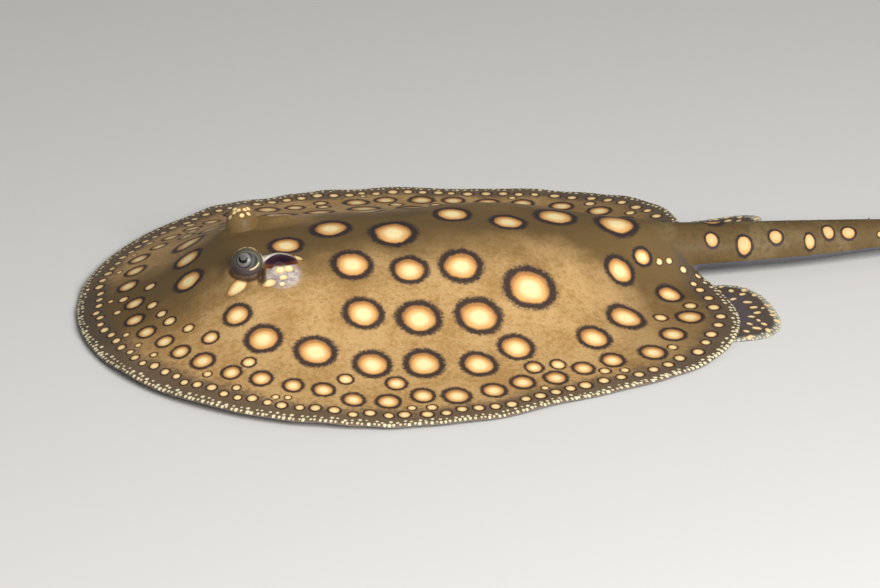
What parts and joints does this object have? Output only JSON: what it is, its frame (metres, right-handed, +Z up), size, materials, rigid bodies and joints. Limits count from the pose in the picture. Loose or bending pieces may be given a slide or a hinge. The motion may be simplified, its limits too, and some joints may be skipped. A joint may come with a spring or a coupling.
{
  "type": "freshwater stingray",
  "caption": "Life-size freshwater stingray lying on the floor, spread disc with eyes and spiracles on top, pelvic fins, and a tapering tail with a sting.",
  "frame": {"origin": "on the floor under the centre of the disc, on the flat of the belly", "axes": "+X to the snout, +Y to the animal's left, +Z up"},
  "size_m": [0.5079, 0.258, 0.0433],
  "materials": {
    "skin": "wet matt skin, tan with dark-ringed orange and cream eyespots above, off-white below",
    "eye": "glossy, dark grey iris with a black crescent pupil",
    "sting": "horn-like, pale bone"
  },
  "bodies": {
    "root": {"head": "skin", "trunk": "skin", "pectoral_fin_left": "skin", "pectoral_fin_right": "skin", "pelvic_fin_left": "skin", "pelvic_fin_right": "skin", "tail_base": "skin", "tail_middle": "skin", "tail_tip": "skin", "tail_fold_dorsal": "skin", "tail_fold_ventral": "skin", "eye_left": "eye", "eye_right": "eye", "sting": "sting"}
  },
  "joints": []
}
